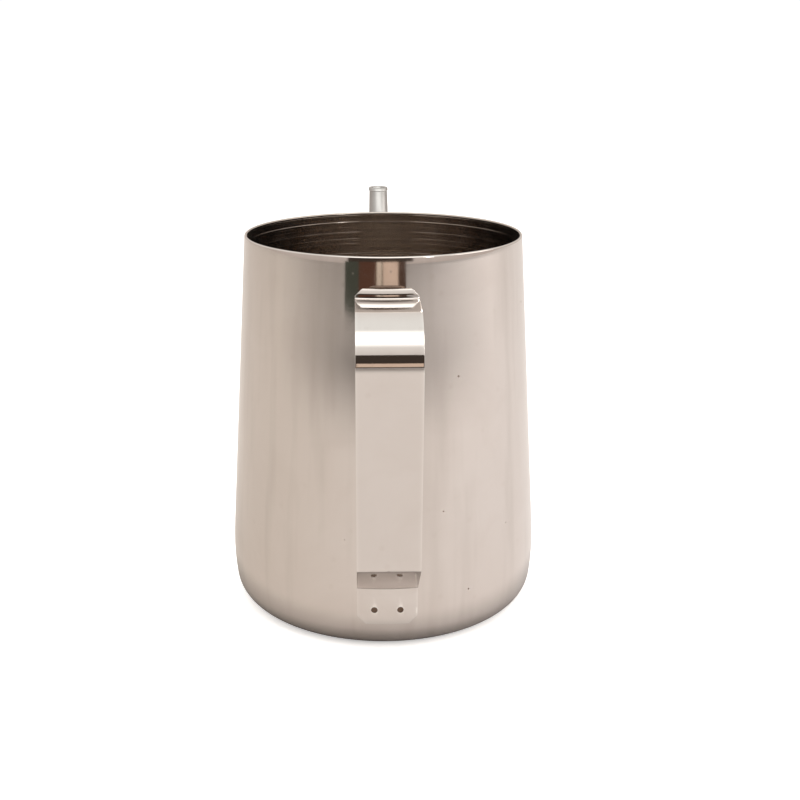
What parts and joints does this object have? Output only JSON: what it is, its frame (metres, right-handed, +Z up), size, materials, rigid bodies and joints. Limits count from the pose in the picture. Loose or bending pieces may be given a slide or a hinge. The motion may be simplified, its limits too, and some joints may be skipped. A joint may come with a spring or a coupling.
{
  "type": "milk pitcher",
  "caption": "Polished steel milk pitcher: a tapered cup with a rounded base, a flat strap handle and a slim gooseneck pouring spout.",
  "frame": {"origin": "centre of the foot ring, on the body's axis, in the plane that the pitcher stands on", "axes": "+Z up along the body's axis, +X from the handle towards the spout, +Y to the left when looking from the handle to the spout"},
  "size_m": [0.1431, 0.092, 0.1144],
  "materials": {
    "wall_steel": "polished stainless steel outside, finely turned inside",
    "strap_steel": "polished stainless steel strip",
    "tube_steel": "polished stainless steel tube",
    "weld_metal": "steel fused at a weld, browned by heat",
    "bead_metal": "weld bead, ground and buffed"
  },
  "bodies": {
    "root": {"body_shell": "wall_steel", "handle_strap": "strap_steel", "handle_foot_spot_welds": "weld_metal", "handle_top_weld": "weld_metal", "spout_tube": "tube_steel", "spout_root_weld": "bead_metal"}
  },
  "joints": []
}
